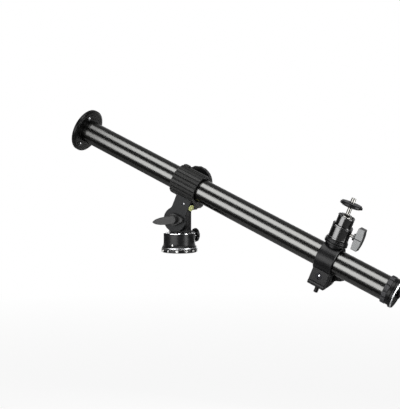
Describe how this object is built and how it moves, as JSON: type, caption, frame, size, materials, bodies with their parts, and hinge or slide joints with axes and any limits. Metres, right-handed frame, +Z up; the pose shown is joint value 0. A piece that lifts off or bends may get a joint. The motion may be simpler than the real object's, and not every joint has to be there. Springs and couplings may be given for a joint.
{
  "type": "tripod extension arm",
  "caption": "Black tube in a tilting clamp on a panning base, with a head flange at one end and a sliding ring clamp that carries a small ball head.",
  "frame": {"origin": "centre of the base's bottom face, on the pan axis", "axes": "+Z up along the pan axis; the arm lies in the XZ plane, its low end towards +X; -Y is the side with the tilt lever"},
  "size_m": [0.4848, 0.0713, 0.2493],
  "materials": {
    "gloss_black": "glossy black anodised",
    "black_anodised": "satin black anodised",
    "black_satin": "satin black",
    "dark_casting": "dark grey satin casting",
    "black_plastic": "moulded, satin",
    "rubber": "matt",
    "steel": "turned",
    "bright_aluminium": "bright turned",
    "chrome": "polished",
    "level_green": "clear with tinted fluid"
  },
  "bodies": {
    "base": {"dial_disc": "black_anodised", "base_thread_bush": "steel", "dial_trim_ring": "bright_aluminium"},
    "pan": {"pan_housing": "black_satin", "pan_knuckle": "black_satin", "tilt_bolt": "steel", "tilt_washer": "black_plastic"},
    "pan_lock": {"pan_lock_knob": "black_plastic", "pan_lock_screw": "steel", "pan_lock_washer": "bright_aluminium"},
    "tilt_lock": {"tilt_lever": "dark_casting"},
    "bracket": {"upper_bracket": "dark_casting", "clamp_collar": "dark_casting", "neck_screw": "bright_aluminium", "level_cup": "black_plastic", "level_vial": "level_green"},
    "side_screw": {"side_thumb_screw": "black_plastic"},
    "tube_lock": {"tube_lock_knob": "black_plastic", "tube_lock_screw": "steel"},
    "liner": {"collar_liner": "black_plastic"},
    "tube": {"arm_tube": "gloss_black", "head_flange": "black_satin", "head_stud": "steel", "flange_screw_1": "bright_aluminium", "flange_screw_2": "bright_aluminium", "flange_screw_3": "bright_aluminium", "end_grip_ring": "rubber", "end_cap": "black_satin", "end_flange": "chrome", "end_screw": "steel", "end_lug": "black_satin"},
    "ring_liner": {"ring_liner": "black_plastic"},
    "ring": {"ring_band": "black_satin", "clamp_stub": "black_plastic", "clamp_stud": "steel", "ball_base": "black_satin", "ball_body": "black_satin", "ball_socket": "black_satin"},
    "ring_lock": {"ring_lock_knob": "black_plastic", "clamp_screw": "steel"},
    "ball_lock": {"ball_lock_paddle": "black_plastic", "ball_lock_screw": "steel"},
    "ball": {"ball_stem": "chrome"},
    "platform": {"platform_disc": "black_satin", "platform_pad": "rubber"}
  },
  "joints": [
    {"name": "pan_turn", "type": "hinge", "parent": "base", "child": "pan", "pos_m": [0, 0, 0], "axis": [0, 0, 1], "continuous": true},
    {"name": "pan_lock_turn", "type": "hinge", "parent": "pan", "child": "pan_lock", "pos_m": [0, 0, 0.0219], "axis": [0.5299, 0.848, 0], "continuous": true},
    {"name": "arm_tilt", "type": "hinge", "parent": "pan", "child": "bracket", "pos_m": [0, 0, 0.0451], "axis": [0, 1, 0], "range_deg": [-114, 60]},
    {"name": "tilt_lock_turn", "type": "hinge", "parent": "pan", "child": "tilt_lock", "pos_m": [0, 0, 0.0451], "axis": [0, 1, 0], "range_deg": [-15, 120]},
    {"name": "side_screw_turn", "type": "hinge", "parent": "bracket", "child": "side_screw", "pos_m": [0.01653, 0.013, 0.06379], "axis": [0, 1, 0], "continuous": true},
    {"name": "tube_lock_turn", "type": "hinge", "parent": "bracket", "child": "tube_lock", "pos_m": [0.01166, 0.0239, 0.09464], "axis": [0, 1, 0], "continuous": true},
    {"name": "tube_turn", "type": "hinge", "parent": "bracket", "child": "liner", "pos_m": [0.02034, 0, 0.09078], "axis": [0.9135, 0, -0.4067], "continuous": true},
    {"name": "tube_slide", "type": "slide", "parent": "liner", "child": "tube", "axis": [0.9135, 0, -0.4067], "range_m": [-0.08, 0.1]},
    {"name": "ring_slide", "type": "slide", "parent": "tube", "child": "ring_liner", "axis": [0.9135, 0, -0.4067], "range_m": [-0.065, 0.055]},
    {"name": "ring_turn", "type": "hinge", "parent": "ring_liner", "child": "ring", "pos_m": [0.21638, 0, 0.00349], "axis": [0.9135, 0, -0.4067], "continuous": true},
    {"name": "ring_lock_turn", "type": "hinge", "parent": "ring", "child": "ring_lock", "pos_m": [0.20706, 0.002, -0.01744], "axis": [0.0354, 0.9962, 0.0796], "continuous": true},
    {"name": "ball_lock_turn", "type": "hinge", "parent": "ring", "child": "ball_lock", "pos_m": [0.23237, -0.00344, 0.03939], "axis": [0.9135, 0, -0.4067], "continuous": true},
    {"name": "ball_tilt", "type": "hinge", "parent": "ring", "child": "ball", "pos_m": [0.23824, -0.0047, 0.05259], "axis": [-0.0177, 0.9981, -0.0587], "range_deg": [-30, 30]},
    {"name": "platform_turn", "type": "hinge", "parent": "ball", "child": "platform", "pos_m": [0.23824, -0.0047, 0.05259], "axis": [0.3581, 0.0612, 0.9317], "continuous": true}
  ]
}
